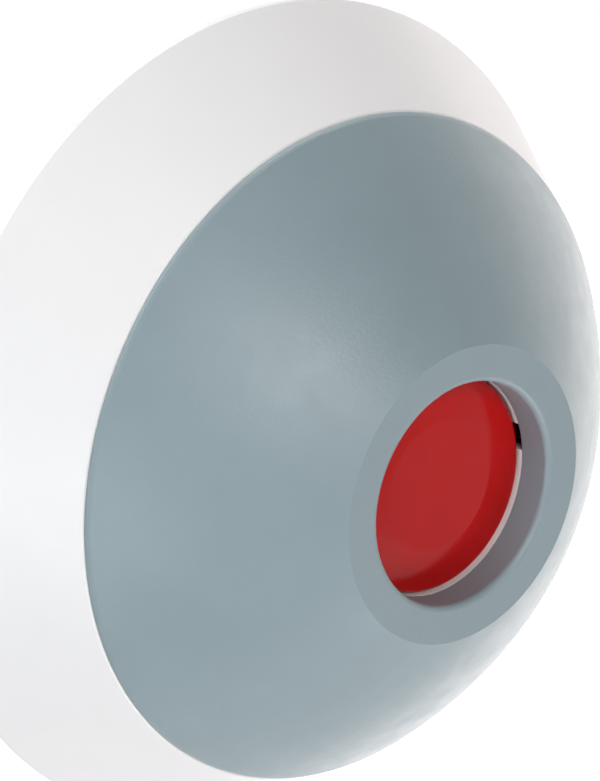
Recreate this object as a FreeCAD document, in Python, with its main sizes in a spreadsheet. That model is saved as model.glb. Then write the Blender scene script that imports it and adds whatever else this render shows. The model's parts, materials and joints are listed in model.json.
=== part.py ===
"""Round wall-mounted panic button.

The wall is the plane y = 0, the button faces -Y and +Z is up. Heights in the size sheet are distances
in front of the wall. Angles are seen from the front, counterclockwise from +X.
"""
import FreeCAD, Part
import os
import re
import Sketcher

SIZES = [
    ("base_radius", 50.0, "rear edge of the white skirt"),
    ("edge_height", 0.8, "straight edge of the skirt at the wall"),
    ("joint_height", 16.6, "plane where the cover meets the base"),
    ("joint_gap", 0.1, "line between cover and base"),
    ("joint_step", 0.2, "how far the skirt stands out past the cover's rim"),
    ("base_edge_round", 0.3, "rounding of the skirt's front edge"),
    ("base_wall", 2.4, "skirt wall, square to its flank"),
    ("floor_hollow", 1.0, "relief behind the floor"),
    ("floor_wall", 2.0, "floor of the base"),
    ("rear_rim_width", 4.0, "ring that touches the wall"),
    ("rear_pad_radius", 9.0, "middle pad that touches the wall"),
    ("rib_count", 6, "ribs behind the floor"),
    ("rib_width", 1.2, "width of those ribs"),
    ("rib_setback", 0.2, "how far the ribs stay off the wall"),
    ("screw_spacing", 60.0, "between the two wall screws"),
    ("screw_hole_radius", 2.2, "wall screw hole"),
    ("screw_head_radius", 4.2, "counterbore for the wall screw's head"),
    ("screw_boss_radius", 6.0, "boss round the wall screw"),
    ("screw_boss_height", 4.2, "front of that boss"),
    ("screw_seat_height", 2.2, "seat of the wall screw's head"),
    ("running_gap", 0.3, "clearance between cover and base"),
    ("neck_wall", 1.95, "front edge of the base, outside to inside"),
    ("spigot_wall", 2.0, "wall of the spigot"),
    ("spigot_length", 6.2, "spigot of the cover behind the joint"),
    ("lug_reach", 1.5, "how far the bayonet lugs stand out"),
    ("lug_height", 2.2, "lug along the axis"),
    ("lug_angle", 12.0, "lug round the axis"),
    ("lug_count", 3, "bayonet lugs"),
    ("stop_angle", 2.5, "stop beside each ledge"),
    ("stop_gap", 0.7, "angle left between lug and stop"),
    ("unlock_angle", 15.0, "turn that frees the cover"),
    ("post_height", 2.2, "board posts above the floor"),
    ("post_radius", 2.8, "board post"),
    ("post_inset", 2.9, "board posts inside the board's edge"),
    ("post_angle", 30.0, "first board post"),
    ("board_inset", 1.3, "edge of the round board inside the spigot's outside"),
    ("board_thickness", 1.6, "circuit board"),
    ("board_notch_radius", 6.0, "notch that lets the wall screw in"),
    ("screw_radius", 1.0, "shank of the small screws"),
    ("pilot_clearance", 0.05, "room round a shank in its pilot hole"),
    ("through_clearance", 0.3, "room round a shank in a through hole"),
    ("small_head_radius", 2.0, "head of the small screws"),
    ("small_head_height", 1.4, "height of that head"),
    ("drive_width", 0.6, "slot width of the cross recess"),
    ("drive_length", 2.2, "slot length of the cross recess"),
    ("drive_depth", 0.7, "depth of the cross recess"),
    ("board_screw_reach", 4.4, "shank below the board's front"),
    ("joint_radius", 40.35, "rim of the cover"),
    ("rim_land", 0.5, "straight edge of the cover's rim"),
    ("rim_round", 1.2, "rounding of the cover's rim"),
    ("collar_radius", 17.93, "outside of the flat collar"),
    ("front_height", 36.3, "front of the collar"),
    ("cone_crown", 1.44, "how far the cone's flank bulges out of straight"),
    ("cover_wall", 2.0, "cone wall, square to its flank"),
    ("recess_radius", 13.4, "thumb recess and bore of the guide"),
    ("lip_round", 0.7, "rounding of the recess mouth"),
    ("ring_depth", 4.3, "from the collar down to the white ring"),
    ("seat_clearance", 0.15, "room round the guide in its seat"),
    ("tube_wall", 1.5, "recess tube round that seat"),
    ("tube_lift", 6.0, "rear edge of the recess tube in front of the guide's rear"),
    ("seat_gap", 0.1, "room between seated faces"),
    ("guide_wall", 1.05, "wall of the guide"),
    ("guide_length", 9.9, "guide along the axis"),
    ("guide_floor_wall", 1.4, "floor of the guide"),
    ("ear_circle", 21.0, "circle of the guide's screws"),
    ("ear_radius", 3.4, "rounding of the guide's ears"),
    ("ear_thickness", 2.0, "ears of the guide"),
    ("ear_angle", 90.0, "first ear"),
    ("boss_radius", 2.6, "cover boss for a guide screw"),
    ("guide_screw_reach", 7.6, "shank in front of the ear's rear face"),
    ("pilot_end_gap", 0.4, "pilot hole beyond the shank"),
    ("notch_angle", 10.5, "middle of the notch in the white ring"),
    ("notch_width", 15.0, "angle of that notch"),
    ("key_width", 11.5, "angle of the button's key rib"),
    ("key_height", 3.2, "key rib along the axis"),
    ("key_drop", 1.8, "edge of the button to the key rib"),
    ("travel", 1.5, "stroke of the button"),
    ("cap_proud", 0.2, "middle of the button in front of the white ring"),
    ("cap_clearance", 0.3, "room round the button"),
    ("cap_wall", 1.5, "skirt of the button"),
    ("cap_face_wall", 2.4, "face of the button at its edge"),
    ("cap_round", 0.5, "rounding of the button's edge"),
    ("cap_flat_radius", 7.6, "flat middle of the button's face"),
    ("cap_flat_round", 6.0, "rounding where the flat middle ends"),
    ("cap_slope_angle", 5.2, "slope of the face outside it"),
    ("skirt_clearance", 1.0, "button skirt above the guide floor when pressed"),
    ("stem_radius", 2.9, "stem of the button"),
    ("stem_clearance", 0.35, "room round the stem"),
    ("barb_reach", 1.1, "how far the snap barb stands out"),
    ("barb_length", 2.4, "snap barb along the stem"),
    ("spring_post_radius", 4.4, "collars that centre the return spring"),
    ("spring_post_height", 1.2, "height of those collars"),
    ("spring_radius", 5.3, "middle of the return spring's wire"),
    ("spring_wire", 0.4, "wire radius of the return spring"),
    ("spring_turns", 4, "turns of the return spring"),
    ("switch_width", 12.0, "push switch housing"),
    ("switch_height", 5.2, "push switch housing above the board"),
    ("switch_collar_radius", 4.4, "collar round the plunger"),
    ("switch_collar_height", 0.7, "height of that collar"),
    ("switch_floor", 1.2, "floor of the switch housing"),
    ("chamber_radius", 3.9, "chamber of the switch"),
    ("chamber_roof", 1.0, "roof over that chamber"),
    ("plunger_radius", 2.2, "plunger of the push switch"),
    ("plunger_flange_radius", 3.5, "flange that keeps the plunger in"),
    ("plunger_flange", 0.9, "thickness of that flange"),
    ("plunger_height", 15.0, "front of the plunger"),
    ("plunger_chamfer", 0.4, "edge of the plunger"),
    ("slide_gap", 0.2, "clearance of parts that slide"),
    ("battery_radius", 7.25, "half-AA cell"),
    ("battery_length", 24.0, "can of the cell"),
    ("battery_nub_radius", 3.0, "positive terminal"),
    ("battery_nub", 1.2, "length of that terminal"),
    ("battery_offset", 22.0, "cell below the device's axis"),
    ("battery_lift", 0.9, "cell above the board"),
    ("cradle_end", 14.0, "inside end of the battery cradle"),
    ("cradle_wall", 1.2, "walls of the cradle"),
    ("contact_sheet", 0.4, "sheet of the battery contacts"),
    ("contact_width", 7.0, "width of the battery contacts"),
    ("contact_top", 19.0, "bend of the battery contacts"),
    ("shield_width", 12.0, "radio can"),
    ("shield_height", 2.2, "radio can above the board"),
    ("shield_left", 17.0, "radio can left of the axis"),
    ("shield_above", 7.0, "radio can above the axis"),
    ("antenna_circle", 24.0, "arc of the antenna wire"),
    ("antenna_wire", 0.45, "radius of that wire"),
    ("antenna_lift", 3.6, "arc above the board"),
    ("leg_angle", 55.0, "first leg of the antenna wire"),
    ("arc_angle", 70.0, "from one leg to the other"),
    ("chip_width", 8.0, "controller"),
    ("chip_height", 1.3, "controller above the board"),
    ("chip_right", 17.0, "controller right of the axis"),
    ("chip_above", 8.0, "controller above the axis"),
    ("crystal_length", 11.0, "timing crystal"),
    ("crystal_width", 4.6, "timing crystal"),
    ("crystal_height", 3.5, "timing crystal above the board"),
    ("crystal_right", 18.0, "timing crystal right of the axis"),
    ("crystal_below", 6.0, "timing crystal below the axis"),
    ("capacitor_radius", 4.0, "storage capacitor"),
    ("capacitor_height", 8.0, "storage capacitor above the board"),
    ("capacitor_left", 18.0, "storage capacitor left of the axis"),
    ("capacitor_below", 6.5, "storage capacitor below the axis"),
    ("light_size", 3.0, "status lights"),
    ("light_height", 1.9, "status lights above the board"),
    ("light_offset", 9.5, "status lights from the axis, both ways"),
    ("tamper_inset", 3.8, "tamper switch inside the spigot"),
    ("tamper_width", 6.0, "tamper switch"),
    ("tamper_height", 4.0, "tamper switch above the board"),
    ("tamper_floor", 1.2, "floor of the tamper switch"),
    ("tamper_roof", 0.6, "roof of the tamper switch"),
    ("tamper_chamber_radius", 2.3, "chamber of the tamper switch"),
    ("tamper_pin_radius", 1.4, "tamper plunger"),
    ("tamper_flange_radius", 2.0, "flange of the tamper plunger"),
    ("tamper_flange", 0.6, "thickness of that flange"),
    ("tamper_pin_top", 12.0, "front of the tamper plunger, cover shut"),
    ("tamper_pin_round", 0.5, "tip of the tamper plunger"),
    ("tamper_lift", 1.2, "rise of the tamper plunger as the cover opens"),
    ("ramp_gap", 0.3, "room between ramp and plunger"),
    ("ramp_reach", 2.5, "ramp inside the tamper plunger's middle"),
    ("ramp_lead", 3.0, "flat of the ramp before the plunger"),
    ("ramp_run_out", 2.0, "ramp past its last use"),
    ("ramp_sink", 0.4, "ramp sunk in the cover"),
]

# Lengths that follow from the sheet, each written once and named.
DERIVED = {
    "base_top": "joint_height - joint_gap",
    "base_top_radius": "joint_radius + joint_step",
    "flank_run": "base_radius - base_top_radius",
    "flank_rise": "base_top - edge_height",
    "flank_inset": "base_wall * sqrt(flank_run ^ 2 + flank_rise ^ 2) / flank_rise",
    "inside_foot": "base_radius - flank_inset + edge_height * flank_run / flank_rise",
    "floor_top": "floor_hollow + floor_wall",
    "neck_radius": "base_top_radius - neck_wall",
    "lug_radius": "neck_radius - running_gap",
    "spigot_radius": "lug_radius - lug_reach",
    "spigot_bottom": "joint_height - spigot_length",
    "lug_top": "spigot_bottom + lug_height",
    "neck_height": "(inside_foot - neck_radius) * flank_rise / flank_run",
    "ledge_radius": "spigot_radius + running_gap",
    "ledge_bottom": "lug_top + running_gap",
    "ledge_top": "ledge_bottom + lug_height",
    "wall_middle": "inside_foot - ledge_bottom * flank_run / flank_rise + flank_inset / 5",
    "stop_middle": "inside_foot - spigot_bottom * flank_run / flank_rise + flank_inset / 2",
    "board_radius": "spigot_radius - board_inset",
    "post_circle": "board_radius - post_inset",
    "board_back": "floor_top + post_height",
    "board_front": "board_back + board_thickness",
    "pilot_radius": "screw_radius + pilot_clearance",
    "through_radius": "screw_radius + through_clearance",
    "cone_foot": "joint_height + rim_land",
    "cone_run": "joint_radius - collar_radius",
    "cone_rise": "front_height - cone_foot",
    "cone_chord": "sqrt(cone_run ^ 2 + cone_rise ^ 2)",
    "crown_bend": "(cone_chord ^ 2 / 4 + cone_crown ^ 2) / (2 * cone_crown)",
    "crown_reach": "(crown_bend - cone_crown) / cone_chord",
    "crown_middle_radius": "(collar_radius + joint_radius) / 2 - crown_reach * cone_rise",
    "crown_middle_height": "(front_height + cone_foot) / 2 - crown_reach * cone_run",
    "inner_bend": "crown_bend - cover_wall",
    "spigot_inner": "spigot_radius - spigot_wall",
    "spigot_top": "crown_middle_height + sqrt(inner_bend ^ 2 - (spigot_inner - crown_middle_radius) ^ 2)",
    "collar_under": "front_height - cover_wall",
    "collar_corner": "crown_middle_radius"
    " + sqrt(inner_bend ^ 2 - (collar_under - crown_middle_height) ^ 2)",
    "ring_height": "front_height - ring_depth",
    "guide_top": "ring_height - seat_gap",
    "guide_radius": "recess_radius + guide_wall",
    "guide_seat_radius": "guide_radius + seat_clearance",
    "tube_radius": "guide_seat_radius + tube_wall",
    "guide_floor_height": "guide_top - guide_length",
    "tube_bottom": "guide_floor_height + tube_lift",
    "guide_floor_top": "guide_floor_height + guide_floor_wall",
    "ear_front": "guide_floor_height + ear_thickness",
    "stem_hole": "stem_radius + stem_clearance",
    "barb_radius": "stem_radius + barb_reach",
    "barb_top": "guide_floor_height - slide_gap",
    "cap_top": "guide_top + cap_proud",
    "cap_radius": "recess_radius - cap_clearance",
    "slope_start": "cap_flat_radius + cap_flat_round * sin(cap_slope_angle)",
    "slope_height": "cap_top - cap_flat_round * (1 - cos(cap_slope_angle))",
    "cap_edge": "slope_height - (cap_radius - slope_start) * tan(cap_slope_angle)",
    "cap_under": "cap_edge - cap_face_wall",
    "skirt_bottom": "guide_floor_top + travel + skirt_clearance",
    "stem_bottom": "plunger_height + seat_gap",
    "key_top": "cap_edge - key_drop",
    "key_bottom": "key_top - key_height",
    "key_radius": "(guide_seat_radius + tube_radius) / 2",
    "notch_bottom": "key_bottom - travel - slide_gap",
    "switch_top": "board_front + switch_height",
    "chamber_floor": "board_front + switch_floor",
    "chamber_top": "switch_top - chamber_roof",
    "flange_top": "chamber_top - slide_gap",
    "battery_axis": "board_front + battery_lift + battery_radius",
    "cradle_half_width": "battery_radius + slide_gap + cradle_wall / 2",
    "tamper_top": "board_front + tamper_height",
    "tamper_chamber_top": "tamper_top - tamper_roof",
    "tamper_chamber_floor": "board_front + tamper_floor",
    "tamper_flange_top": "tamper_chamber_top - tamper_lift - seat_gap",
    "tamper_circle": "spigot_inner - tamper_inset",
    "ramp_inner": "tamper_circle - ramp_reach",
    "ramp_top": "joint_height + ramp_sink",
    "ramp_low": "tamper_pin_top + ramp_gap",
    "ramp_use": "tamper_circle * sin(unlock_angle)",
    "ramp_end": "ramp_use + ramp_run_out",
    "ramp_high": "ramp_low + tamper_lift * ramp_end / ramp_use",
}

ALIASES = {alias for alias, number, meaning in SIZES}
WORD = re.compile(r"[a-z][a-z_]*[a-z]")

# Two places nearer than this are one place.
SAME_PLACE = 1e-4

document = FreeCAD.newDocument("PanicButton")
sheet = document.addObject("Spreadsheet::Sheet", "Sizes")


def fill_sheet():
    """Write each size on a row of its own, with its alias and its meaning."""
    for row, (alias, number, meaning) in enumerate(SIZES, start=1):
        sheet.set(f"A{row}", alias)
        sheet.set(f"B{row}", str(number))
        sheet.set(f"C{row}", meaning)
        sheet.setAlias(f"B{row}", alias)
    document.recompute()


def bound(text):
    """Spell a length out in the sheet's own aliases."""

    def spelled(match):
        word = match.group(0)
        if word in ALIASES:
            return f"Sizes.{word}"
        if word in DERIVED:
            return f"({bound(DERIVED[word])})"
        return word

    return WORD.sub(spelled, text)


def value_of(text):
    """Number that a length has now."""
    result = sheet.evalExpression(bound(text))
    return float(getattr(result, "Value", result))


def new_body(label):
    """Empty body whose label names its file."""
    body = document.addObject("PartDesign::Body", label)
    body.Label = label
    body.AllowCompound = True
    return body


def origin_part(body, role):
    """One of the body's own planes or axes."""
    return next(feature for feature in body.Origin.OriginFeatures if feature.Role == role)


def new_sketch(body, name, role, offset="0"):
    """Sketch on a plane of the body, moved along the plane's normal."""
    sketch = body.newObject("Sketcher::SketchObject", name)
    sketch.AttachmentSupport = [(origin_part(body, role), "")]
    sketch.MapMode = "FlatFace"
    sketch.setExpression("AttachmentOffset.Base.z", bound(offset))
    return sketch


def facing_sketch(body, name, height):
    """Sketch parallel to the wall: across is X, up is Z, and pads run away from the wall."""
    return new_sketch(body, name, "XZ_Plane", height)


def drive(sketch, kind, *where, text):
    """Add a dimension that follows the sheet."""
    index = sketch.addConstraint(Sketcher.Constraint(kind, *where, value_of(text)))
    sketch.setExpression(f"Constraints[{index}]", bound(text))


def place_point(sketch, geometry, end, across, up):
    """Hold a point at two lengths from the sketch's origin."""
    drive(sketch, "DistanceX", -1, 1, geometry, end, text=across)
    drive(sketch, "DistanceY", -1, 1, geometry, end, text=up)


def edge_between(start, end, bend):
    """Line or arc, and the numbers of its two ends; a bend is an arc's middle point and radius."""
    if bend is None:
        return Part.LineSegment(start, end), 1, 2
    across, up, radius = bend
    middle = FreeCAD.Vector(value_of(across), value_of(up), 0)
    circle = Part.Circle(middle, FreeCAD.Vector(0, 0, 1), value_of(radius))
    if (start - middle).cross(end - middle).z > 0:
        return Part.ArcOfCircle(circle, circle.parameter(start), circle.parameter(end)), 1, 2
    return Part.ArcOfCircle(circle, circle.parameter(end), circle.parameter(start)), 2, 1


def add_polygon(sketch, corners, bends=None):
    """Closed outline, every corner held by the sheet.

    Bends make arcs of some edges, each named by the number of the corner it starts from.
    """
    bends = bends or {}
    points = [FreeCAD.Vector(value_of(across), value_of(up), 0) for across, up in corners]
    first = sketch.GeometryCount
    ends = []
    for step, (start, end) in enumerate(zip(points, points[1:] + points[:1])):
        edge, near, far = edge_between(start, end, bends.get(step))
        sketch.addGeometry(edge)
        ends.append((near, far))
    for step, (across, up) in enumerate(corners):
        following = (step + 1) % len(corners)
        sketch.addConstraint(Sketcher.Constraint(
            "Coincident", first + step, ends[step][1], first + following, ends[following][0]
        ))
        place_point(sketch, first + step, ends[step][0], across, up)
    for step, (across, up, radius) in bends.items():
        drive(sketch, "Radius", first + step, text=radius)


def add_rectangle(sketch, across, up, width, depth):
    """Upright rectangle round a middle point."""
    left, right = f"{across} - ({width}) / 2", f"{across} + ({width}) / 2"
    low, high = f"{up} - ({depth}) / 2", f"{up} + ({depth}) / 2"
    add_polygon(sketch, [(left, low), (right, low), (right, high), (left, high)])


def add_circle(sketch, across, up, radius):
    """Circle round a point."""
    centre = FreeCAD.Vector(value_of(across), value_of(up), 0)
    circle = Part.Circle(centre, FreeCAD.Vector(0, 0, 1), value_of(radius))
    index = sketch.addGeometry(circle)
    drive(sketch, "Radius", index, text=radius)
    place_point(sketch, index, 3, across, up)


def extrude(body, kind, name, sketch, length):
    """Pad or pocket of a sketch."""
    feature = body.newObject(f"PartDesign::{kind}", name)
    feature.Profile = sketch
    feature.setExpression("Length", bound(length))
    sketch.Visibility = False
    return feature


def pad_circle(body, name, across, up, radius, low, high):
    """Round post between two heights."""
    sketch = facing_sketch(body, f"{name}_outline", low)
    add_circle(sketch, across, up, radius)
    return extrude(body, "Pad", name, sketch, f"{high} - ({low})")


def pad_box(body, name, across, up, width, depth, low, high):
    """Block between two heights."""
    sketch = facing_sketch(body, f"{name}_outline", low)
    add_rectangle(sketch, across, up, width, depth)
    return extrude(body, "Pad", name, sketch, f"{high} - ({low})")


def pocket_circle(body, name, across, up, radius, low, high):
    """Round hole between two heights."""
    sketch = facing_sketch(body, f"{name}_outline", high)
    add_circle(sketch, across, up, radius)
    return extrude(body, "Pocket", name, sketch, f"{high} - ({low})")


def turned(body, kind, name, corners, start=None, width="360", bends=None):
    """Revolution or groove about the device's axis; corners are pairs of radius and height.

    With a start angle the shape is only that wide, counterclockwise seen from the front. Bends make
    arcs of some edges, each with its middle's radius and height and its own radius.
    """
    bends = {step: (x, f"-({height})", radius) for step, (x, height, radius) in (bends or {}).items()}
    sketch = new_sketch(body, f"{name}_outline", "XY_Plane")
    if start is not None:
        sketch.AttachmentOffset = FreeCAD.Placement(
            FreeCAD.Vector(0, 0, 0), FreeCAD.Rotation(FreeCAD.Vector(0, 1, 0), -1)
        )
        sketch.setExpression("AttachmentOffset.Rotation.Angle", bound(f"-({start} + {width})"))
    add_polygon(sketch, [(radius, f"-({height})") for radius, height in corners], bends)
    feature = body.newObject(f"PartDesign::{kind}", name)
    feature.Profile = sketch
    feature.ReferenceAxis = (sketch, ["V_Axis"])
    feature.setExpression("Angle", bound(width))
    sketch.Visibility = False
    return feature


def repeat_round(body, name, originals, count):
    """Copies of features round the device's axis."""
    pattern = body.newObject("PartDesign::PolarPattern", name)
    pattern.Originals = originals
    pattern.Axis = (origin_part(body, "Y_Axis"), [""])
    pattern.Angle = 360
    pattern.setExpression("Occurrences", bound(count))
    body.Tip = pattern
    return pattern


def circle_edges(shape, radius, height):
    """Names of the edges that lie on one circle round the device's axis."""
    names = []
    for number, edge in enumerate(shape.Edges, start=1):
        curve = edge.Curve
        if not isinstance(curve, Part.Circle):
            continue
        same_radius = abs(curve.Radius - value_of(radius)) < SAME_PLACE
        same_height = abs(curve.Center.y + value_of(height)) < SAME_PLACE
        on_axis = abs(curve.Center.x) + abs(curve.Center.z) < SAME_PLACE
        if same_radius and same_height and on_axis:
            names.append(f"Edge{number}")
    return names


def dress_circles(body, kind, name, base, circles, size):
    """Fillet or chamfer on circular edges, each given by its radius and height."""
    document.recompute()
    names = []
    for radius, height in circles:
        names += circle_edges(base.Shape, radius, height)
    feature = body.newObject(f"PartDesign::{kind}", name)
    feature.Base = (base, names)
    feature.setExpression("Radius" if kind == "Fillet" else "Size", bound(size))
    return feature


def rear_base():
    """White moulding: flared skirt, floor, wall-screw bosses, board posts and bayonet ledges."""
    body = new_body("rear_base")
    rim_inner = "base_radius - rear_rim_width"
    shell = turned(body, "Revolution", "skirt_and_floor", [
        ("0", "floor_hollow"),
        (rim_inner, "floor_hollow"),
        (rim_inner, "0"),
        ("base_radius", "0"),
        ("base_radius", "edge_height"),
        ("base_top_radius", "base_top"),
        ("neck_radius", "base_top"),
        ("neck_radius", "neck_height"),
        ("inside_foot - floor_top * flank_run / flank_rise", "floor_top"),
        ("0", "floor_top"),
    ])
    dress_circles(
        body, "Fillet", "skirt_rounding", shell, [("base_top_radius", "base_top")], "base_edge_round"
    )
    pad_circle(body, "middle_pad", "0", "0", "rear_pad_radius", "0", "floor_hollow")
    rib = pad_box(
        body, "rear_rib", "0", "(rear_pad_radius + base_radius - rear_rim_width) / 2",
        "rib_width", "base_radius - rear_rim_width - rear_pad_radius + 2 * rib_width",
        "rib_setback", "floor_hollow",
    )
    repeat_round(body, "rear_ribs", [rib], "rib_count")
    boss = pad_circle(
        body, "screw_boss", "screw_spacing / 2", "0", "screw_boss_radius", "0", "screw_boss_height"
    )
    repeat_round(body, "screw_bosses", [boss], "2")
    hole = pocket_circle(
        body, "screw_hole", "screw_spacing / 2", "0", "screw_hole_radius", "0", "screw_boss_height"
    )
    seat = pocket_circle(
        body, "screw_seat", "screw_spacing / 2", "0", "screw_head_radius",
        "screw_seat_height", "screw_boss_height",
    )
    repeat_round(body, "screw_holes", [hole, seat], "2")
    post_x = "post_circle * cos(post_angle)"
    post_z = "post_circle * sin(post_angle)"
    post = pad_circle(body, "board_post", post_x, post_z, "post_radius", "floor_hollow", "board_back")
    pilot = pocket_circle(
        body, "post_pilot", post_x, post_z, "pilot_radius",
        "board_front - board_screw_reach - pilot_end_gap", "board_back",
    )
    repeat_round(body, "board_posts", [post, pilot], "3")
    ledge = turned(body, "Revolution", "bayonet_ledge", [
        ("ledge_radius", "ledge_bottom"),
        ("wall_middle", "ledge_bottom"),
        ("wall_middle", "ledge_top"),
        ("ledge_radius", "ledge_top"),
    ], start="-lug_angle / 2", width="lug_angle")
    stop = turned(body, "Revolution", "bayonet_stop", [
        ("ledge_radius", "spigot_bottom"),
        ("stop_middle", "spigot_bottom"),
        ("wall_middle", "ledge_top"),
        ("ledge_radius", "ledge_top"),
    ], start="-(lug_angle / 2 + stop_gap + stop_angle)", width="stop_angle")
    repeat_round(body, "bayonet_ledges", [ledge, stop], "lug_count")
    return body


def circuit_board():
    """Round board with its screw holes and the two notches over the wall screws."""
    body = new_body("circuit_board")
    pad_circle(body, "board", "0", "0", "board_radius", "board_back", "board_front")
    notch = pocket_circle(
        body, "wall_screw_notch", "screw_spacing / 2 + screw_hole_radius", "0", "board_notch_radius",
        "board_back", "board_front",
    )
    repeat_round(body, "wall_screw_notches", [notch], "2")
    hole = pocket_circle(
        body, "board_hole", "post_circle * cos(post_angle)", "post_circle * sin(post_angle)",
        "through_radius", "board_back", "board_front",
    )
    repeat_round(body, "board_holes", [hole], "3")
    return body


def cross_recess(body, name, across, up, low, high):
    """Cross recess of a small screw, as two slots."""
    sketch = facing_sketch(body, f"{name}_outline", high)
    arm, half = "drive_length / 2", "drive_width / 2"
    corners = [
        (half, half), (half, arm), (f"-{half}", arm), (f"-{half}", half),
        (f"-{arm}", half), (f"-{arm}", f"-{half}"), (f"-{half}", f"-{half}"), (f"-{half}", f"-{arm}"),
        (half, f"-{arm}"), (half, f"-{half}"), (arm, f"-{half}"), (arm, half),
    ]
    add_polygon(sketch, [(f"{across} + {x}", f"{up} + {z}") for x, z in corners])
    return extrude(body, "Pocket", name, sketch, f"{high} - ({low})")


def board_screws():
    """Three small screws that hold the board on its posts."""
    body = new_body("board_screws")
    across, up = "post_circle * cos(post_angle)", "post_circle * sin(post_angle)"
    head_top = "board_front + small_head_height"
    head = pad_circle(body, "head", across, up, "small_head_radius", "board_front", head_top)
    shank = pad_circle(
        body, "shank", across, up, "screw_radius", "board_front - board_screw_reach", "board_front"
    )
    recess = cross_recess(body, "recess", across, up, f"{head_top} - drive_depth", head_top)
    repeat_round(body, "screws", [head, shank, recess], "3")
    return body


def front_cover():
    """Blue-grey moulding: crowned cone, flat collar, recess tube, spigot with lugs, bosses and ramp."""
    body = new_body("front_cover")
    shell = turned(body, "Revolution", "cone_shell", [
        ("recess_radius", "front_height"),
        ("collar_radius", "front_height"),
        ("joint_radius", "cone_foot"),
        ("joint_radius", "joint_height"),
        ("spigot_radius", "joint_height"),
        ("spigot_radius", "spigot_bottom"),
        ("spigot_inner", "spigot_bottom"),
        ("spigot_inner", "spigot_top"),
        ("collar_corner", "collar_under"),
        ("tube_radius", "collar_under"),
        ("tube_radius", "tube_bottom"),
        ("guide_seat_radius", "tube_bottom"),
        ("guide_seat_radius", "ring_height"),
        ("recess_radius", "ring_height"),
    ], bends={
        1: ("crown_middle_radius", "crown_middle_height", "crown_bend"),
        7: ("crown_middle_radius", "crown_middle_height", "inner_bend"),
    })
    lip = dress_circles(
        body, "Fillet", "recess_lip", shell, [("recess_radius", "front_height")], "lip_round"
    )
    dress_circles(body, "Fillet", "rim_rounding", lip, [("joint_radius", "cone_foot")], "rim_round")
    turned(body, "Groove", "key_slot", [
        ("guide_seat_radius - slide_gap", "tube_bottom - slide_gap"),
        ("tube_radius + slide_gap", "tube_bottom - slide_gap"),
        ("tube_radius + slide_gap", "ring_height"),
        ("guide_seat_radius - slide_gap", "ring_height"),
    ], start="notch_angle - notch_width / 2", width="notch_width")
    boss_x, boss_z = "ear_circle * cos(ear_angle)", "ear_circle * sin(ear_angle)"
    outline = facing_sketch(body, "guide_boss_outline", "ear_front")
    add_circle(outline, boss_x, boss_z, "boss_radius")
    boss = body.newObject("PartDesign::Pad", "guide_boss")
    boss.Profile = outline
    boss.Type = "UpToFirst"
    pilot = pocket_circle(
        body, "guide_pilot", boss_x, boss_z, "pilot_radius",
        "ear_front", "guide_floor_height + guide_screw_reach + pilot_end_gap",
    )
    repeat_round(body, "guide_bosses", [boss, pilot], "3")
    lug = turned(body, "Revolution", "bayonet_lug", [
        ("spigot_inner + spigot_wall / 2", "spigot_bottom"),
        ("lug_radius", "spigot_bottom"),
        ("lug_radius", "lug_top"),
        ("spigot_inner + spigot_wall / 2", "lug_top"),
    ], start="-lug_angle / 2", width="lug_angle")
    repeat_round(body, "bayonet_lugs", [lug], "lug_count")
    ramp = new_sketch(body, "tamper_ramp_outline", "XY_Plane", "ramp_inner")
    add_polygon(ramp, [
        ("-ramp_lead", "-ramp_low"),
        ("0", "-ramp_low"),
        ("ramp_end", "-(ramp_high)"),
        ("ramp_end", "-ramp_top"),
        ("-ramp_lead", "-ramp_top"),
    ])
    extrude(body, "Pad", "tamper_ramp", ramp, "spigot_inner + ramp_sink - ramp_inner")
    return body


def button_guide():
    """White moulding that guides the button; its bore shows as the thin ring round the button."""
    body = new_body("button_guide")
    turned(body, "Revolution", "sleeve", [
        ("recess_radius", "guide_top"),
        ("guide_radius", "guide_top"),
        ("guide_radius", "guide_floor_height"),
        ("stem_hole", "guide_floor_height"),
        ("stem_hole", "guide_floor_top + spring_post_height"),
        ("spring_post_radius", "guide_floor_top + spring_post_height"),
        ("spring_post_radius", "guide_floor_top"),
        ("recess_radius", "guide_floor_top"),
    ])
    ear_x, ear_z = "ear_circle * cos(ear_angle)", "ear_circle * sin(ear_angle)"
    tip = pad_circle(body, "ear_tip", ear_x, ear_z, "ear_radius", "guide_floor_height", "ear_front")
    root = "(recess_radius + guide_radius) / 2"
    web = pad_box(
        body, "ear_web", "0", f"(ear_circle + {root}) / 2", "2 * ear_radius", f"ear_circle - {root}",
        "guide_floor_height", "ear_front",
    )
    hole = pocket_circle(
        body, "ear_hole", ear_x, ear_z, "through_radius", "guide_floor_height", "ear_front"
    )
    repeat_round(body, "ears", [tip, web, hole], "3")
    turned(body, "Groove", "key_notch", [
        ("recess_radius - slide_gap", "notch_bottom"),
        ("guide_radius + slide_gap", "notch_bottom"),
        ("guide_radius + slide_gap", "guide_top + slide_gap"),
        ("recess_radius - slide_gap", "guide_top + slide_gap"),
    ], start="notch_angle - notch_width / 2", width="notch_width")
    return body


def guide_screws():
    """Three small screws that hold the guide to the cover's bosses, driven from behind."""
    body = new_body("guide_screws")
    across, up = "ear_circle * cos(ear_angle)", "ear_circle * sin(ear_angle)"
    head_rear = "guide_floor_height - small_head_height"
    head = pad_circle(
        body, "head", across, up, "small_head_radius", head_rear, "guide_floor_height"
    )
    shank = pad_circle(
        body, "shank", across, up, "screw_radius",
        "guide_floor_height", "guide_floor_height + guide_screw_reach",
    )
    recess = cross_recess(body, "recess", across, up, head_rear, f"{head_rear} + drive_depth")
    repeat_round(body, "screws", [head, shank, recess], "3")
    return body


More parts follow.
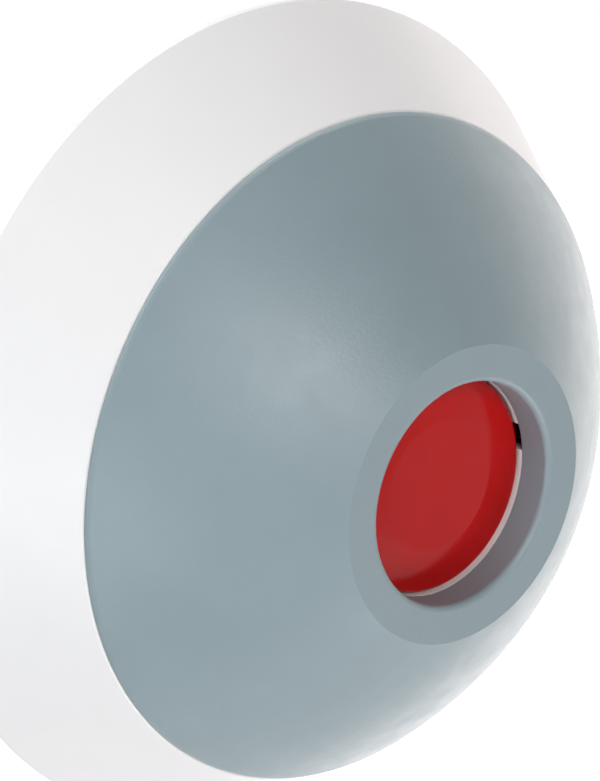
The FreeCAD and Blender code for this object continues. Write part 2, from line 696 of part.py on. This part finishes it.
def button_cap():
    """Red button: crowned face with a flat middle, skirt, key rib and a stem with a snap barb."""
    body = new_body("button_cap")
    turned_cap = turned(body, "Revolution", "face_skirt_and_stem", [
        ("0", "cap_top"),
        ("cap_flat_radius", "cap_top"),
        ("slope_start", "slope_height"),
        ("cap_radius", "cap_edge"),
        ("cap_radius", "skirt_bottom"),
        ("cap_radius - cap_wall", "skirt_bottom"),
        ("cap_radius - cap_wall", "cap_under"),
        ("spring_post_radius", "cap_under"),
        ("spring_post_radius", "cap_under - spring_post_height"),
        ("stem_radius", "cap_under - spring_post_height"),
        ("stem_radius", "barb_top"),
        ("barb_radius", "barb_top"),
        ("stem_radius", "barb_top - barb_length"),
        ("stem_radius", "stem_bottom"),
        ("0", "stem_bottom"),
    ], bends={1: ("cap_flat_radius", "cap_top - cap_flat_round", "cap_flat_round")})
    dress_circles(
        body, "Fillet", "edge_rounding", turned_cap, [("cap_radius", "cap_edge")], "cap_round"
    )
    turned(body, "Revolution", "key_rib", [
        ("cap_radius - cap_wall / 2", "key_bottom"),
        ("key_radius", "key_bottom"),
        ("key_radius", "key_top"),
        ("cap_radius - cap_wall / 2", "key_top"),
    ], start="notch_angle - key_width / 2", width="key_width")
    return body


def return_spring():
    """Coil spring between the guide's floor and the button's face."""
    body = new_body("return_spring")
    low = "guide_floor_top + spring_wire + seat_gap"
    high = "cap_under - spring_wire - seat_gap"
    wire = new_sketch(body, "wire", "XY_Plane")
    add_circle(wire, "spring_radius", f"-({low})", "spring_wire")
    coil = body.newObject("PartDesign::AdditiveHelix", "coil")
    coil.Profile = wire
    coil.ReferenceAxis = (wire, ["V_Axis"])
    coil.Mode = "height-turns-angle"
    coil.Angle = 0
    coil.setExpression("Height", bound(f"{high} - ({low})"))
    coil.setExpression("Turns", bound("spring_turns"))
    coil.Reversed = True
    return body


def switch_body():
    """Housing of the push switch, hollow for its plunger."""
    body = new_body("switch_body")
    pad_box(body, "housing", "0", "0", "switch_width", "switch_width", "board_front", "switch_top")
    collar_top = "switch_top + switch_collar_height"
    pad_circle(body, "collar", "0", "0", "switch_collar_radius", "switch_top", collar_top)
    turned(body, "Groove", "chamber", [
        ("0", "chamber_floor"),
        ("chamber_radius", "chamber_floor"),
        ("chamber_radius", "chamber_top"),
        ("plunger_radius + slide_gap", "chamber_top"),
        ("plunger_radius + slide_gap", collar_top),
        ("0", collar_top),
    ])
    return body


def switch_plunger():
    """Plunger of the push switch, kept in by its flange."""
    body = new_body("switch_plunger")
    rod = turned(body, "Revolution", "rod_and_flange", [
        ("0", "flange_top - plunger_flange"),
        ("plunger_flange_radius", "flange_top - plunger_flange"),
        ("plunger_flange_radius", "flange_top"),
        ("plunger_radius", "flange_top"),
        ("plunger_radius", "plunger_height"),
        ("0", "plunger_height"),
    ])
    dress_circles(
        body, "Chamfer", "tip", rod, [("plunger_radius", "plunger_height")], "plunger_chamfer"
    )
    return body


def pad_along(body, name, low_x, high_x, radius):
    """Cylinder along X on the battery's axis."""
    sketch = new_sketch(body, f"{name}_outline", "YZ_Plane", low_x)
    add_circle(sketch, "-battery_axis", "-battery_offset", radius)
    return extrude(body, "Pad", name, sketch, f"{high_x} - ({low_x})")


def battery():
    """Half-AA cell lying across the board."""
    body = new_body("battery")
    half = "(battery_length + battery_nub) / 2"
    pad_along(body, "can", f"-({half})", f"{half} - battery_nub", "battery_radius")
    pad_along(body, "terminal", f"{half} - battery_nub", half, "battery_nub_radius")
    return body


def battery_cradle():
    """Open cradle that holds the cell up to its middle."""
    body = new_body("battery_cradle")
    pad_box(
        body, "block", "0", "-battery_offset", "2 * (cradle_end + cradle_wall)",
        "2 * cradle_half_width", "board_front", "battery_axis",
    )
    trough = new_sketch(body, "trough_outline", "YZ_Plane", "cradle_end")
    add_circle(trough, "-battery_axis", "-battery_offset", "battery_radius + slide_gap")
    extrude(body, "Pocket", "trough", trough, "2 * cradle_end")
    return body


def battery_contact(label, side):
    """Hairpin contact between the end of the cell and the end of the cradle."""
    body = new_body(label)
    sign = "" if side == "right" else "-"
    face = "(battery_length + battery_nub) / 2 + seat_gap"
    low = "battery_axis - battery_radius / 2"
    outline = new_sketch(body, "hairpin_outline", "XY_Plane", "-battery_offset - contact_width / 2")
    corners = [
        ("cradle_end", low),
        ("cradle_end", "contact_top"),
        (face, "contact_top"),
        (face, low),
        (f"{face} + contact_sheet", low),
        (f"{face} + contact_sheet", "contact_top - contact_sheet"),
        ("cradle_end - contact_sheet", "contact_top - contact_sheet"),
        ("cradle_end - contact_sheet", low),
    ]
    add_polygon(outline, [(f"{sign}({x})", f"-({height})") for x, height in corners])
    extrude(body, "Pad", "hairpin", outline, "contact_width")
    return body


def radio_shield():
    """Sheet can over the radio."""
    body = new_body("radio_shield")
    pad_box(
        body, "can", "-shield_left", "shield_above", "shield_width", "shield_width",
        "board_front", "board_front + shield_height",
    )
    return body


def wire_antenna():
    """Bent wire that stands off the board on two legs."""
    body = new_body("wire_antenna")
    height = "board_front + antenna_lift"
    arc = new_sketch(body, "arc_outline", "XY_Plane")
    arc.AttachmentOffset = FreeCAD.Placement(
        FreeCAD.Vector(0, 0, 0), FreeCAD.Rotation(FreeCAD.Vector(0, 1, 0), -1)
    )
    arc.setExpression("AttachmentOffset.Rotation.Angle", bound("-(leg_angle + arc_angle)"))
    add_circle(arc, "antenna_circle", f"-({height})", "antenna_wire")
    bend = body.newObject("PartDesign::Revolution", "arc")
    bend.Profile = arc
    bend.ReferenceAxis = (arc, ["V_Axis"])
    bend.setExpression("Angle", bound("arc_angle"))
    for name, angle in (("first_leg", "leg_angle"), ("last_leg", "leg_angle + arc_angle")):
        pad_circle(
            body, name, f"antenna_circle * cos({angle})", f"antenna_circle * sin({angle})",
            "antenna_wire", "board_front", height,
        )
    return body


def controller_chip():
    """Flat chip package with a pin-one dimple."""
    body = new_body("controller_chip")
    top = "board_front + chip_height"
    pad_box(
        body, "package", "chip_right", "chip_above", "chip_width", "chip_width", "board_front", top
    )
    corner = "chip_width / 2 - chip_height"
    pocket_circle(
        body, "dimple", f"chip_right - ({corner})", f"chip_above + {corner}", "chip_height / 3",
        f"{top} - chip_height / 6", top,
    )
    return body


def timing_crystal():
    """Crystal can with round ends."""
    body = new_body("timing_crystal")
    top = "board_front + crystal_height"
    straight = "crystal_length - crystal_width"
    pad_box(
        body, "middle", "crystal_right", "-crystal_below", straight, "crystal_width",
        "board_front", top,
    )
    for name, sign in (("left_end", "-"), ("right_end", "+")):
        pad_circle(
            body, name, f"crystal_right {sign} ({straight}) / 2", "-crystal_below",
            "crystal_width / 2", "board_front", top,
        )
    return body


def storage_capacitor():
    """Round capacitor that feeds the radio's bursts."""
    body = new_body("storage_capacitor")
    pad_circle(
        body, "can", "-capacitor_left", "-capacitor_below", "capacitor_radius",
        "board_front", "board_front + capacitor_height",
    )
    return body


def status_lights():
    """Two lights on the board, below the white guide."""
    body = new_body("status_lights")
    light = pad_box(
        body, "light", "light_offset", "light_offset", "light_size", "light_size",
        "board_front", "board_front + light_height",
    )
    repeat_round(body, "lights", [light], "2")
    return body


def tamper_switch():
    """Small switch that the cover holds down, hollow for its plunger."""
    body = new_body("tamper_switch")
    pad_box(
        body, "housing", "0", "tamper_circle", "tamper_width", "tamper_width",
        "board_front", "tamper_top",
    )
    pocket_circle(
        body, "chamber", "0", "tamper_circle", "tamper_chamber_radius",
        "tamper_chamber_floor", "tamper_chamber_top",
    )
    pocket_circle(
        body, "bore", "0", "tamper_circle", "tamper_pin_radius + slide_gap",
        "tamper_chamber_floor", "tamper_top",
    )
    return body


def tamper_plunger():
    """Plunger of the tamper switch, under the cover's ramp."""
    body = new_body("tamper_plunger")
    flange_low = "tamper_flange_top - tamper_flange"
    pad_circle(
        body, "flange", "0", "tamper_circle", "tamper_flange_radius", flange_low, "tamper_flange_top"
    )
    pin = pad_circle(
        body, "pin", "0", "tamper_circle", "tamper_pin_radius", flange_low, "tamper_pin_top"
    )
    document.recompute()
    tip_height = value_of("tamper_pin_top")
    names = [
        f"Edge{number}" for number, edge in enumerate(pin.Shape.Edges, start=1)
        if isinstance(edge.Curve, Part.Circle) and abs(edge.Curve.Center.y + tip_height) < SAME_PLACE
    ]
    tip = body.newObject("PartDesign::Fillet", "tip")
    tip.Base = (pin, names)
    tip.setExpression("Radius", bound("tamper_pin_round"))
    return body


def check(bodies):
    """Stop on any failed feature or bad shape before a file is written."""
    for item in document.Objects:
        if "Invalid" in item.State or "Error" in item.State:
            raise RuntimeError(f"{item.Label} failed: {item.State}")
    for body in bodies:
        if body.Shape.isNull() or not body.Shape.isValid():
            raise RuntimeError(f"{body.Label} has a bad shape")


fill_sheet()
bodies = [
    rear_base(),
    circuit_board(),
    board_screws(),
    front_cover(),
    button_guide(),
    guide_screws(),
    button_cap(),
    return_spring(),
    switch_body(),
    switch_plunger(),
    battery(),
    battery_cradle(),
    battery_contact("battery_contact_positive", "right"),
    battery_contact("battery_contact_negative", "left"),
    radio_shield(),
    wire_antenna(),
    controller_chip(),
    timing_crystal(),
    storage_capacitor(),
    status_lights(),
    tamper_switch(),
    tamper_plunger(),
]
document.recompute()
check(bodies)
os.makedirs("parts", exist_ok=True)
for body in bodies:
    body.Shape.exportStep(f"parts/{body.Label}.step")
    box = body.Shape.BoundBox
    print(
        f"{body.Label}: {len(body.Shape.Solids)} solids, {body.Shape.Volume:.1f} mm3, "
        f"y {box.YMin:.2f} to {box.YMax:.2f}, x {box.XMin:.2f} to {box.XMax:.2f}, "
        f"z {box.ZMin:.2f} to {box.ZMax:.2f}"
    )
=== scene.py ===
import bpy
import json
import math
from mathutils import Matrix, Vector


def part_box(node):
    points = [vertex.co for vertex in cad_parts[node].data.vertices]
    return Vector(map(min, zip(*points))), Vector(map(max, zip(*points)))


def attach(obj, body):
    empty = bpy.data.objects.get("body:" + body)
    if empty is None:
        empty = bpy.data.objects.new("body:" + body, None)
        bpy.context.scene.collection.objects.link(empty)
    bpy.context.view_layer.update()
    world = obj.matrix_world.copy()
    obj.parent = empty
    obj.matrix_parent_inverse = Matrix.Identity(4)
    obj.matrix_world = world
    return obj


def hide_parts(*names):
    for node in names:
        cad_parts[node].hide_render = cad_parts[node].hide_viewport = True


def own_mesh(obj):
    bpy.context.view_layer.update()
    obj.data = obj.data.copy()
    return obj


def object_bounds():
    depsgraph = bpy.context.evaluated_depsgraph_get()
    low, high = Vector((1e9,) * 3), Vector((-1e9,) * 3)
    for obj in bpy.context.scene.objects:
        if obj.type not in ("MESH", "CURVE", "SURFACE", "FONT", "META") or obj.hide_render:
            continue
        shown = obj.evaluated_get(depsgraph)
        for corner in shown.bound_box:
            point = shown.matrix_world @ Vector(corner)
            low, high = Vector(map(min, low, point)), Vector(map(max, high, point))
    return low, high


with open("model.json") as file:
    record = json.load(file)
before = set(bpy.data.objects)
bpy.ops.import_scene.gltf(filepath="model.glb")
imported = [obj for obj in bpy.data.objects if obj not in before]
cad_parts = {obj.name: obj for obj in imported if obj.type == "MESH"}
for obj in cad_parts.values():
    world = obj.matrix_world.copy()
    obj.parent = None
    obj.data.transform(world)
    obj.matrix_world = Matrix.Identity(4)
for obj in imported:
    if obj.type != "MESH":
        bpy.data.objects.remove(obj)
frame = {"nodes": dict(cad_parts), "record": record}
CAD_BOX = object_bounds()

MM = 0.001

# Camera: a long lens to the left of the device and a little above it, looking at the device's middle.
PICTURE_HEIGHT = 781
FOCAL_PIXELS = 6512
SENSOR_HEIGHT = 36.0
CLIP_START = 0.01
CAMERA_AZIMUTH = math.radians(-42.19)
CAMERA_ELEVATION = math.radians(21.08)
CAMERA_PLACE = Vector((-478.7, -536.4, 279.6)) * MM

# Floor far below the wall-mounted device.
FLOOR_DROP = 1.25
FLOOR_SIZE = 6.0
FLOOR_COLOR = (0.85, 0.85, 0.85)
FLOOR_ROUGHNESS = 0.9

# Surroundings: white to look at. As light they are dark in front of the device and a little brighter
# behind it, and LEVEL_FADE is how far either side of the middle the one runs into the other.
LEVEL_IN_FRONT = 0.0
LEVEL_BEHIND = 0.15
LEVEL_FADE = 0.5

# Lamps: round soft boxes, each with its name, direction, width in metres, power in watts and colour.
NEUTRAL = (1.0, 1.0, 1.0)
WARM = (1.07, 0.975, 0.955)
COOL = (0.95, 1.0, 1.05)
FAINTLY_WARM = (1.03, 1.0, 0.995)
SOFT_BOX_DISTANCE = 1.2
SOFT_BOXES = [
    ("front_box", (-0.25, -0.85, 0.46), 0.65, 8.1, FAINTLY_WARM),
    ("top_box", (0.30, 0.50, 0.80), 1.0, 6.2, NEUTRAL),
    ("low_box", (0.30, -0.70, -0.65), 0.6, 4.5, WARM),
    ("left_box", (-0.90, -0.35, -0.25), 1.0, 6.75, COOL),
    ("right_box", (1.00, 0.10, 0.00), 1.0, 3.55, WARM),
    ("rear_right_box", (0.76, 0.35, -0.54), 1.0, 4.0, WARM),
    ("rear_left_box", (-0.57, 0.58, 0.58), 1.0, 8.9, NEUTRAL),
]

# Part of a noise's range that is used, because it seldom goes nearer to zero or one.
NOISE_LOW = 0.3
NOISE_HIGH = 0.7

# Moulded plastic: size of its flow marks and of its patches of uneven gloss.
FLOW_MARK = 9 * MM
GLOSS_PATCH = 2.5 * MM
GLOSS_CHANGE = 0.04

# Circuit board: its mask over laminate and over copper, its tracks, which stop where a noise is under
# TRACK_BREAK, and its pads, whose radius is in parts of their pitch.
MASK_ON_LAMINATE = (0.014, 0.105, 0.048)
MASK_ON_COPPER = (0.04, 0.22, 0.11)
TRACK_PITCH = 5 * MM
TRACK_WIDTH = 0.3 * MM
TRACK_HEIGHT = 0.02 * MM
TRACK_RUN = 4 * MM
TRACK_BREAK = 0.5
PAD_PITCH = 3.4 * MM
PAD_RADIUS = 0.12
PAD_COLOR = (0.60, 0.60, 0.56)
EDGE_SOFTNESS = 0.01

# Battery sleeve: its colours, and where its band starts and stops, in parts of the cell's length.
SLEEVE_COLOR = (0.05, 0.12, 0.30)
BAND_COLOR = (0.62, 0.62, 0.58)
BAND_START = 0.70
BAND_STOP = 0.88
BAND_FADE = 0.01

# Inner pieces of metal and of plain plastic: colour and roughness of each slot.
METALS = {
    "spring_steel": ((0.50, 0.50, 0.52), 0.28),
    "screw_steel": ((0.60, 0.60, 0.60), 0.32),
    "contact_metal": ((0.66, 0.64, 0.60), 0.30),
    "tinned_can": ((0.65, 0.65, 0.64), 0.36),
    "antenna_copper": ((0.72, 0.36, 0.20), 0.30),
}
PLAIN_PLASTICS = {
    "black_plastic": ((0.02, 0.02, 0.022), 0.5),
    "plunger_plastic": ((0.75, 0.75, 0.72), 0.4),
    "chip_resin": ((0.015, 0.015, 0.017), 0.55),
    "capacitor_sleeve": ((0.02, 0.02, 0.05), 0.25),
    "light_resin": ((0.80, 0.78, 0.70), 0.15),
}


def link(object_):
    """Put a new object into the scene."""
    bpy.context.scene.collection.objects.link(object_)
    return object_


def turned_towards(back, place):
    """Matrix of a lamp or camera at a place, with its back along a direction."""
    back = Vector(back).normalized()
    right = Vector((0, 0, 1)).cross(back).normalized()
    up = back.cross(right)
    turn = Matrix((right, up, back)).transposed()
    return Matrix.Translation(place) @ turn.to_4x4()


def place_camera():
    """Camera at the photograph's viewpoint."""
    data = bpy.data.cameras.new("camera")
    data.sensor_fit = "VERTICAL"
    data.sensor_height = SENSOR_HEIGHT
    data.lens = FOCAL_PIXELS / PICTURE_HEIGHT * SENSOR_HEIGHT
    data.clip_start = CLIP_START
    camera = link(bpy.data.objects.new("camera", data))
    back = (
        math.sin(CAMERA_AZIMUTH) * math.cos(CAMERA_ELEVATION),
        -math.cos(CAMERA_AZIMUTH) * math.cos(CAMERA_ELEVATION),
        math.sin(CAMERA_ELEVATION),
    )
    camera.matrix_world = turned_towards(back, CAMERA_PLACE)
    bpy.context.scene.camera = camera


def map_range(nodes, links, value, start, stop, low, high):
    """Number that runs from low to high while a value runs from start to stop."""
    node = nodes.new("ShaderNodeMapRange")
    node.inputs["From Min"].default_value = start
    node.inputs["From Max"].default_value = stop
    node.inputs["To Min"].default_value = low
    node.inputs["To Max"].default_value = high
    links.new(value, node.inputs["Value"])
    return node.outputs["Result"]


class Material:
    """Node material with a principled shader and short calls that add to it."""

    def __init__(self, name, color, roughness):
        self.data = bpy.data.materials.new(name)
        self.data.use_nodes = True
        self.nodes = self.data.node_tree.nodes
        self.links = self.data.node_tree.links
        self.shader = self.nodes["Principled BSDF"]
        self.place = self.nodes.new("ShaderNodeTexCoord").outputs["Object"]
        self.color = color
        self.roughness = roughness
        self.set_constant("Base Color", (*color, 1))
        self.set_constant("Roughness", roughness)

    def set_constant(self, socket, value):
        """Value of a shader socket that is the same all over the surface."""
        self.shader.inputs[socket].default_value = value

    def noise(self, size, detail=2):
        """Noise whose grains are about that size in metres."""
        node = self.nodes.new("ShaderNodeTexNoise")
        node.inputs["Scale"].default_value = 1 / size
        node.inputs["Detail"].default_value = detail
        self.links.new(self.place, node.inputs["Vector"])
        return node.outputs["Fac"]

    def along(self, axis):
        """Place along one axis of the shared frame, in metres."""
        node = self.nodes.new("ShaderNodeSeparateXYZ")
        self.links.new(self.place, node.inputs["Vector"])
        return node.outputs[axis]

    def on_wall(self):
        """Place seen square to the wall: right and up, in metres."""
        node = self.nodes.new("ShaderNodeCombineXYZ")
        self.links.new(self.along("X"), node.inputs["X"])
        self.links.new(self.along("Z"), node.inputs["Y"])
        return node.outputs["Vector"]

    def dots(self, size):
        """Distance on the wall's plane to the nearest of many scattered points, in parts of size."""
        node = self.nodes.new("ShaderNodeTexVoronoi")
        node.voronoi_dimensions = "2D"
        node.inputs["Scale"].default_value = 1 / size
        self.links.new(self.on_wall(), node.inputs["Vector"])
        return node.outputs["Distance"]

    def lines(self, size, width):
        """One on thin level lines and the upright ones between them, zero elsewhere."""
        node = self.nodes.new("ShaderNodeTexBrick")
        node.inputs["Scale"].default_value = 1 / size
        node.inputs["Mortar Size"].default_value = width / size / 2
        self.links.new(self.on_wall(), node.inputs["Vector"])
        return node.outputs["Fac"]

    def product(self, one, other):
        """Two textures multiplied."""
        node = self.nodes.new("ShaderNodeMath")
        node.operation = "MULTIPLY"
        self.links.new(one, node.inputs[0])
        self.links.new(other, node.inputs[1])
        return node.outputs[0]

    def rise(self, value, start, stop):
        """Zero before start and one after stop."""
        return map_range(self.nodes, self.links, value, start, stop, 0, 1)

    def fall(self, value, start, stop):
        """One before start and zero after stop."""
        return map_range(self.nodes, self.links, value, start, stop, 1, 0)

    def mix_base_color(self, factor, high):
        """Mix in front of the base colour that gives a colour where a factor is one."""
        node = self.nodes.new("ShaderNodeMix")
        node.data_type = "RGBA"
        node.inputs["B"].default_value = (*high, 1)
        self.links.new(factor, node.inputs["Factor"])
        self.links.new(node.outputs["Result"], self.shader.inputs["Base Color"])
        return node

    def vary_color(self, factor, low, high):
        """Base colour that runs between two shades with a texture."""
        node = self.mix_base_color(factor, high)
        node.inputs["A"].default_value = (*low, 1)

    def paint(self, mask, color):
        """Another colour over the varied base colour, where a mask is one."""
        below = self.shader.inputs["Base Color"].links[0].from_socket
        node = self.mix_base_color(mask, color)
        self.links.new(below, node.inputs["A"])

    def shade(self, noise, amount):
        """Base colour a little darker and lighter than its own, by a noise."""
        low = [channel * (1 - amount) for channel in self.color]
        high = [channel * (1 + amount) for channel in self.color]
        self.vary_color(self.rise(noise, NOISE_LOW, NOISE_HIGH), low, high)

    def vary_roughness(self, noise, amount):
        """Roughness that runs either side of its own value, by a noise."""
        low = self.roughness - amount
        high = self.roughness + amount
        result = map_range(self.nodes, self.links, noise, NOISE_LOW, NOISE_HIGH, low, high)
        self.links.new(result, self.shader.inputs["Roughness"])

    def raise_surface(self, texture, height):
        """Bump of that height in metres."""
        node = self.nodes.new("ShaderNodeBump")
        node.inputs["Distance"].default_value = height
        self.links.new(texture, node.inputs["Height"])
        self.links.new(node.outputs["Normal"], self.shader.inputs["Normal"])


def moulded(name, color, roughness, grain, height, tone):
    """Plastic with a fine grain, faint flow marks and uneven gloss."""
    material = Material(name, color, roughness)
    material.shade(material.noise(FLOW_MARK, detail=3), tone)
    material.vary_roughness(material.noise(GLOSS_PATCH, detail=4), GLOSS_CHANGE)
    material.raise_surface(material.noise(grain, detail=3), height)
    return material.data


def white_plastic():
    """Clean white moulding."""
    return moulded(
        "white_plastic",
        color=(0.86, 0.86, 0.86),
        roughness=0.42,
        grain=0.35 * MM,
        height=0.004 * MM,
        tone=0.008,
    )


def grey_plastic():
    """Blue-grey moulding with a spark-eroded face."""
    return moulded(
        "grey_plastic",
        color=(0.238, 0.313, 0.340),
        roughness=0.43,
        grain=0.40 * MM,
        height=0.030 * MM,
        tone=0.025,
    )


def red_plastic():
    """Satin red moulding with hardly any relief."""
    material = Material("red_plastic", color=(0.45, 0.003, 0.003), roughness=0.16)
    material.set_constant("Specular IOR Level", 0.18)
    material.shade(material.noise(5 * MM, detail=3), amount=0.03)
    material.vary_roughness(material.noise(1.5 * MM, detail=4), amount=0.03)
    material.raise_surface(material.noise(0.9 * MM), height=0.002 * MM)
    return material.data


def ring_plastic():
    """White moulding of the button's guide, smoother than the base."""
    return moulded(
        "ring_plastic",
        color=(0.90, 0.89, 0.87),
        roughness=0.3,
        grain=0.5 * MM,
        height=0.002 * MM,
        tone=0.01,
    )


def plain_plastic(name, color, roughness):
    """Plastic of an inner piece."""
    return moulded(name, color, roughness, grain=0.4 * MM, height=0.004 * MM, tone=0.03)


def metal(name, color, roughness):
    """Plated metal with a fine mottled finish."""
    material = Material(name, color, roughness)
    material.set_constant("Metallic", 1.0)
    material.shade(material.noise(1.2 * MM, detail=4), amount=0.06)
    material.vary_roughness(material.noise(0.4 * MM, detail=4), amount=0.06)
    material.raise_surface(material.noise(0.2 * MM, detail=3), height=0.002 * MM)
    return material.data


def board_laminate():
    """Green solder mask over copper, with the faint relief of its tracks and small tinned pads."""
    material = Material("board_laminate", (0.02, 0.14, 0.06), 0.32)
    unbroken = material.rise(
        material.noise(TRACK_RUN), TRACK_BREAK - EDGE_SOFTNESS, TRACK_BREAK + EDGE_SOFTNESS
    )
    tracks = material.product(material.lines(TRACK_PITCH, TRACK_WIDTH), unbroken)
    material.vary_color(tracks, MASK_ON_LAMINATE, MASK_ON_COPPER)
    pads = material.fall(
        material.dots(PAD_PITCH), PAD_RADIUS - EDGE_SOFTNESS, PAD_RADIUS + EDGE_SOFTNESS
    )
    material.paint(pads, PAD_COLOR)
    material.raise_surface(tracks, TRACK_HEIGHT)
    return material.data


def battery_sleeve():
    """Glossy shrink sleeve, blue with a pale band near one end."""
    material = Material("battery_sleeve", SLEEVE_COLOR, 0.25)
    (start, _, _), (stop, _, _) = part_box("battery")
    length = stop - start
    band_start = start + BAND_START * length
    band_stop = start + BAND_STOP * length
    fade = BAND_FADE * length
    past_start = material.rise(material.along("X"), band_start, band_start + fade)
    before_stop = material.fall(material.along("X"), band_stop, band_stop + fade)
    material.vary_color(material.product(past_start, before_stop), SLEEVE_COLOR, BAND_COLOR)
    material.vary_roughness(material.noise(GLOSS_PATCH, detail=4), GLOSS_CHANGE)
    material.raise_surface(material.noise(0.4 * MM, detail=3), 0.004 * MM)
    return material.data


MAKERS = {
    "white_plastic": white_plastic,
    "grey_plastic": grey_plastic,
    "red_plastic": red_plastic,
    "ring_plastic": ring_plastic,
    "board_laminate": board_laminate,
    "battery_sleeve": battery_sleeve,
}


def finished_material(slot):
    """Material of a slot, by its own function or from the lists of inner pieces."""
    if slot in METALS:
        return metal(slot, *METALS[slot])
    if slot in PLAIN_PLASTICS:
        return plain_plastic(slot, *PLAIN_PLASTICS[slot])
    return MAKERS[slot]()


def dress_nodes():
    """Give every carried-over node the material of its slot."""
    materials = {}
    for subpart in frame["record"]["subparts"]:
        slot = subpart["material_slot"]
        if slot not in materials:
            materials[slot] = finished_material(slot)
        mesh = frame["nodes"][subpart["node"]].data
        mesh.materials.clear()
        mesh.materials.append(materials[slot])


def wind_coil():
    """The return spring's coil as a piece of its own, carried on the cover's body, with the spring's
    own node hidden.
    """
    node = frame["nodes"]["return_spring"]
    coil = link(bpy.data.objects.new("return_coil", node.data.copy()))
    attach(coil, "cover")
    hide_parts("return_spring")
    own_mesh(coil)


def seen_directly(nodes, links):
    """One for what the camera, a reflection or a clear material sees, and zero for diffuse light."""
    path = nodes.new("ShaderNodeLightPath")
    total = path.outputs["Is Camera Ray"]
    for output in ("Is Glossy Ray", "Is Transmission Ray"):
        node = nodes.new("ShaderNodeMath")
        node.operation = "ADD"
        node.use_clamp = True
        links.new(total, node.inputs[0])
        links.new(path.outputs[output], node.inputs[1])
        total = node.outputs[0]
    return total


def floor_material():
    """White to the camera and to reflections, pale grey to everything else."""
    material = bpy.data.materials.new("stage")
    material.use_nodes = True
    nodes = material.node_tree.nodes
    links = material.node_tree.links
    shader = nodes["Principled BSDF"]
    shader.inputs["Base Color"].default_value = (*FLOOR_COLOR, 1)
    shader.inputs["Roughness"].default_value = FLOOR_ROUGHNESS
    shader.inputs["Emission Color"].default_value = (1, 1, 1, 1)
    links.new(seen_directly(nodes, links), shader.inputs["Emission Strength"])
    return material


def lay_floor():
    """Plain pale floor below the device."""
    low = CAD_BOX[0][2] - FLOOR_DROP
    half = FLOOR_SIZE / 2
    mesh = bpy.data.meshes.new("floor")
    corners = [(-half, -half, low), (half, -half, low), (half, half, low), (-half, half, low)]
    mesh.from_pydata(corners, [], [(0, 1, 2, 3)])
    mesh.materials.append(floor_material())
    floor = link(bpy.data.objects.new("floor", mesh))


def light_surroundings():
    """Surroundings that look white all round and light the device mostly from behind."""
    world = bpy.data.worlds.new("world")
    bpy.context.scene.world = world
    world.use_nodes = True
    nodes = world.node_tree.nodes
    links = world.node_tree.links
    background = nodes["Background"]
    background.inputs["Color"].default_value = (1, 1, 1, 1)
    parts = nodes.new("ShaderNodeSeparateXYZ")
    links.new(nodes.new("ShaderNodeTexCoord").outputs["Generated"], parts.inputs["Vector"])
    light = map_range(
        nodes, links, parts.outputs["Y"], -LEVEL_FADE, LEVEL_FADE, LEVEL_IN_FRONT, LEVEL_BEHIND
    )
    level = nodes.new("ShaderNodeMix")
    level.inputs["B"].default_value = 1.0
    links.new(seen_directly(nodes, links), level.inputs["Factor"])
    links.new(light, level.inputs["A"])
    links.new(level.outputs["Result"], background.inputs["Strength"])


def hang_soft_box(name, direction, width, power, color):
    """Round soft box that faces the device."""
    data = bpy.data.lights.new(name, "AREA")
    data.shape = "DISK"
    data.size = width
    data.energy = power
    data.color = color
    lamp = link(bpy.data.objects.new(name, data))
    lamp.matrix_world = turned_towards(direction, Vector(direction).normalized() * SOFT_BOX_DISTANCE)


bpy.context.scene.view_settings.view_transform = "Standard"
place_camera()
dress_nodes()
wind_coil()
lay_floor()
light_surroundings()
for soft_box in SOFT_BOXES:
    hang_soft_box(*soft_box)
